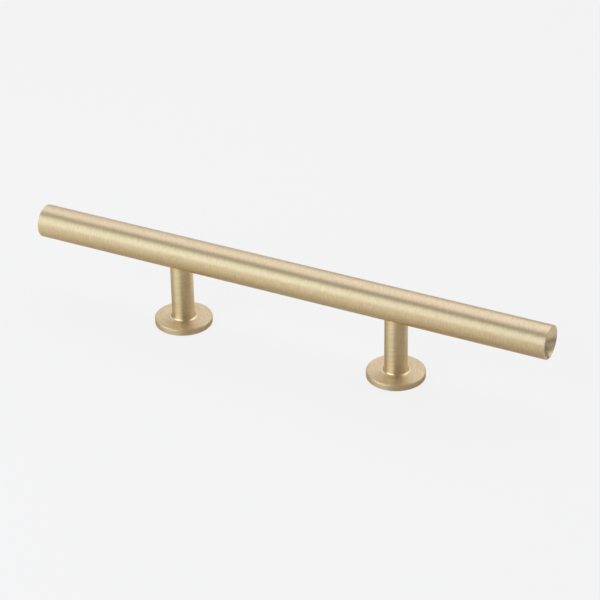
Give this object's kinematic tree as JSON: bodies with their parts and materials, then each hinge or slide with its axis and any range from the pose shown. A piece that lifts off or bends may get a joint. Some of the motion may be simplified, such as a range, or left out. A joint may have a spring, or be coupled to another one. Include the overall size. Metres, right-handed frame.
{
  "type": "bar cabinet pull",
  "caption": "Round bar pull in satin brass with dished bar ends, on two turned posts with flat round feet, screwed to a door or drawer front from behind.",
  "frame": {"origin": "on the mounting plane under the feet, midway between the two mounting screws", "axes": "+X along the bar, +Z away from the door towards the front of the bar"},
  "size_m": [0.1778, 0.0188, 0.0309],
  "materials": {
    "satin_brass": "fine satin brushing round the turned surfaces",
    "stud_steel": "plain zinc-plated"
  },
  "bodies": {
    "root": {"bar": "satin_brass", "left_post": "satin_brass", "right_post": "satin_brass", "left_stud": "stud_steel", "right_stud": "stud_steel"}
  },
  "joints": []
}
